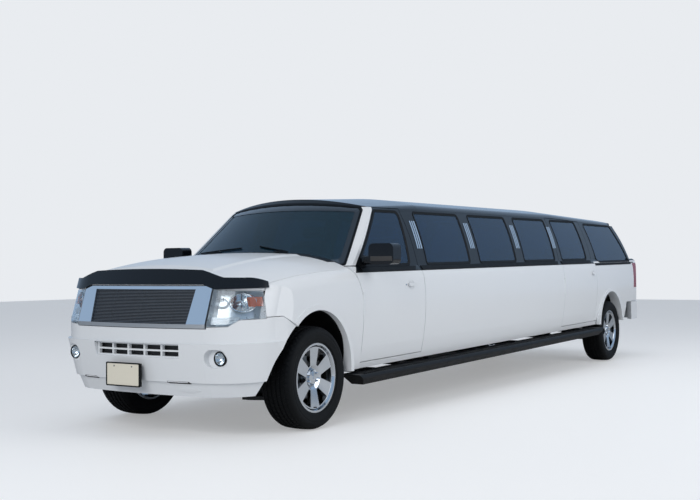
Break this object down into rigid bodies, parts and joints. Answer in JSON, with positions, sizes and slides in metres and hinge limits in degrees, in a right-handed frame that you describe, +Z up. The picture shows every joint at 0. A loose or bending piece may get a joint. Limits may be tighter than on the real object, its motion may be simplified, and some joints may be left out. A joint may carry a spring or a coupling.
{
  "type": "stretch limousine",
  "caption": "Stretch limousine on a full-size utility vehicle body: opening doors, hood and rear gate, steered front wheels, long windowed sides, running boards and a seated cabin.",
  "frame": {"origin": "on the ground, under the middle of the vehicle's length and width", "axes": "+Z up, +Y towards the tail, +X towards the vehicle's left side"},
  "size_m": [2.49, 9.1958, 1.9617],
  "materials": {
    "white_paint": "glossy white body paint",
    "black_paint": "glossy black paint",
    "tinted_glass": "dark tinted safety glass",
    "clear_glass": "laminated glass with a faint tint",
    "lamp_lens": "clear moulded lens",
    "red_lens": "red moulded lens",
    "gloss_black": "polished dark acrylic",
    "bright_trim": "bright plated trim",
    "wheel_chrome": "polished wheel",
    "tyre_rubber": "matt black rubber",
    "black_plastic": "grained black plastic",
    "chassis_black": "satin black chassis paint",
    "floor_paint": "dark grey floor covering over steel",
    "cast_metal": "dull cast metal",
    "exhaust_steel": "dull aluminised steel",
    "seat_leather": "dark grey leather"
  },
  "bodies": {
    "chassis": {"side_panel_left": "white_paint", "side_panel_right": "white_paint", "quarter_panel_left": "white_paint", "quarter_panel_right": "white_paint", "fender_left": "white_paint", "fender_right": "white_paint", "front_bumper": "white_paint", "rear_bumper": "white_paint", "front_pillars": "white_paint", "bumper_grille": "white_paint", "roof_panel": "black_paint", "fixed_glass": "tinted_glass", "windshield": "clear_glass", "headlamps": "lamp_lens", "tail_lamps": "red_lens", "grille_surround": "bright_trim", "pillar_trims": "bright_trim", "grille_bars": "black_plastic", "cowl": "black_plastic", "running_boards": "black_plastic", "plate_holder": "black_plastic", "wheel_liners": "black_plastic", "dashboard": "black_plastic", "fuel_tank": "black_plastic", "frame_rails": "chassis_black", "frame_crossmembers": "chassis_black", "suspension": "chassis_black", "radiator_support": "chassis_black", "hinge_posts": "chassis_black", "floor_pan": "floor_paint", "firewall": "floor_paint", "engine_and_driveline": "cast_metal", "exhaust": "exhaust_steel", "seats": "seat_leather"},
    "front_knuckle_left": {"front_knuckle_left": "cast_metal"},
    "front_wheel_left": {"front_tyre_left": "tyre_rubber", "front_rim_left": "wheel_chrome"},
    "rear_wheel_left": {"rear_tyre_left": "tyre_rubber", "rear_rim_left": "wheel_chrome"},
    "front_door_left": {"front_door_left": "white_paint", "front_door_glass_left": "tinted_glass", "mirror_left": "black_plastic"},
    "rear_door_left": {"rear_door_left": "white_paint", "rear_door_glass_left": "tinted_glass"},
    "front_knuckle_right": {"front_knuckle_right": "cast_metal"},
    "front_wheel_right": {"front_tyre_right": "tyre_rubber", "front_rim_right": "wheel_chrome"},
    "rear_wheel_right": {"rear_tyre_right": "tyre_rubber", "rear_rim_right": "wheel_chrome"},
    "front_door_right": {"front_door_right": "white_paint", "front_door_glass_right": "tinted_glass", "mirror_right": "black_plastic"},
    "rear_door_right": {"rear_door_right": "white_paint", "rear_door_glass_right": "tinted_glass"},
    "hood": {"hood": "white_paint", "hood_deflector": "gloss_black"},
    "liftgate": {"liftgate": "white_paint", "rear_glass": "tinted_glass"}
  },
  "joints": [
    {"name": "steer_left", "type": "hinge", "parent": "chassis", "child": "front_knuckle_left", "pos_m": [0.81, -3.5952, 0.396], "axis": [0, 0, 1], "range_deg": [-30, 30]},
    {"name": "steer_right", "type": "hinge", "parent": "chassis", "child": "front_knuckle_right", "pos_m": [-0.81, -3.5952, 0.396], "axis": [0, 0, 1], "range_deg": [-30, 30]},
    {"name": "front_spin_left", "type": "hinge", "parent": "front_knuckle_left", "child": "front_wheel_left", "pos_m": [0.851, -3.5952, 0.396], "axis": [1, 0, 0], "continuous": true},
    {"name": "rear_spin_left", "type": "hinge", "parent": "chassis", "child": "rear_wheel_left", "pos_m": [0.851, 3.2878, 0.396], "axis": [1, 0, 0], "continuous": true},
    {"name": "front_door_hinge_left", "type": "hinge", "parent": "chassis", "child": "front_door_left", "pos_m": [1.001, -2.951, 0.90961], "axis": [0, 0.0148, -0.9999], "range_deg": [0, 65]},
    {"name": "rear_door_hinge_left", "type": "hinge", "parent": "chassis", "child": "rear_door_left", "pos_m": [1.001, 1.5965, 0.97708], "axis": [0, 0.0148, -0.9999], "range_deg": [0, 65]},
    {"name": "front_spin_right", "type": "hinge", "parent": "front_knuckle_right", "child": "front_wheel_right", "pos_m": [-0.851, -3.5952, 0.396], "axis": [1, 0, 0], "continuous": true},
    {"name": "rear_spin_right", "type": "hinge", "parent": "chassis", "child": "rear_wheel_right", "pos_m": [-0.851, 3.2878, 0.396], "axis": [1, 0, 0], "continuous": true},
    {"name": "front_door_hinge_right", "type": "hinge", "parent": "chassis", "child": "front_door_right", "pos_m": [-1.001, -2.951, 0.90961], "axis": [0, -0.0148, 0.9999], "range_deg": [0, 65]},
    {"name": "rear_door_hinge_right", "type": "hinge", "parent": "chassis", "child": "rear_door_right", "pos_m": [-1.001, 1.5965, 0.97708], "axis": [0, -0.0148, 0.9999], "range_deg": [0, 65]},
    {"name": "hood_hinge", "type": "hinge", "parent": "chassis", "child": "hood", "pos_m": [0, -3.00645, 1.15882], "axis": [-1, 0, 0], "range_deg": [0, 50]},
    {"name": "liftgate_hinge", "type": "hinge", "parent": "chassis", "child": "liftgate", "pos_m": [0, 3.889, 1.93804], "axis": [1, 0, 0], "range_deg": [0, 85]}
  ],
  "couplings": [
    {"joint": "steer_right", "follows": "steer_left", "ratio": 1}
  ]
}
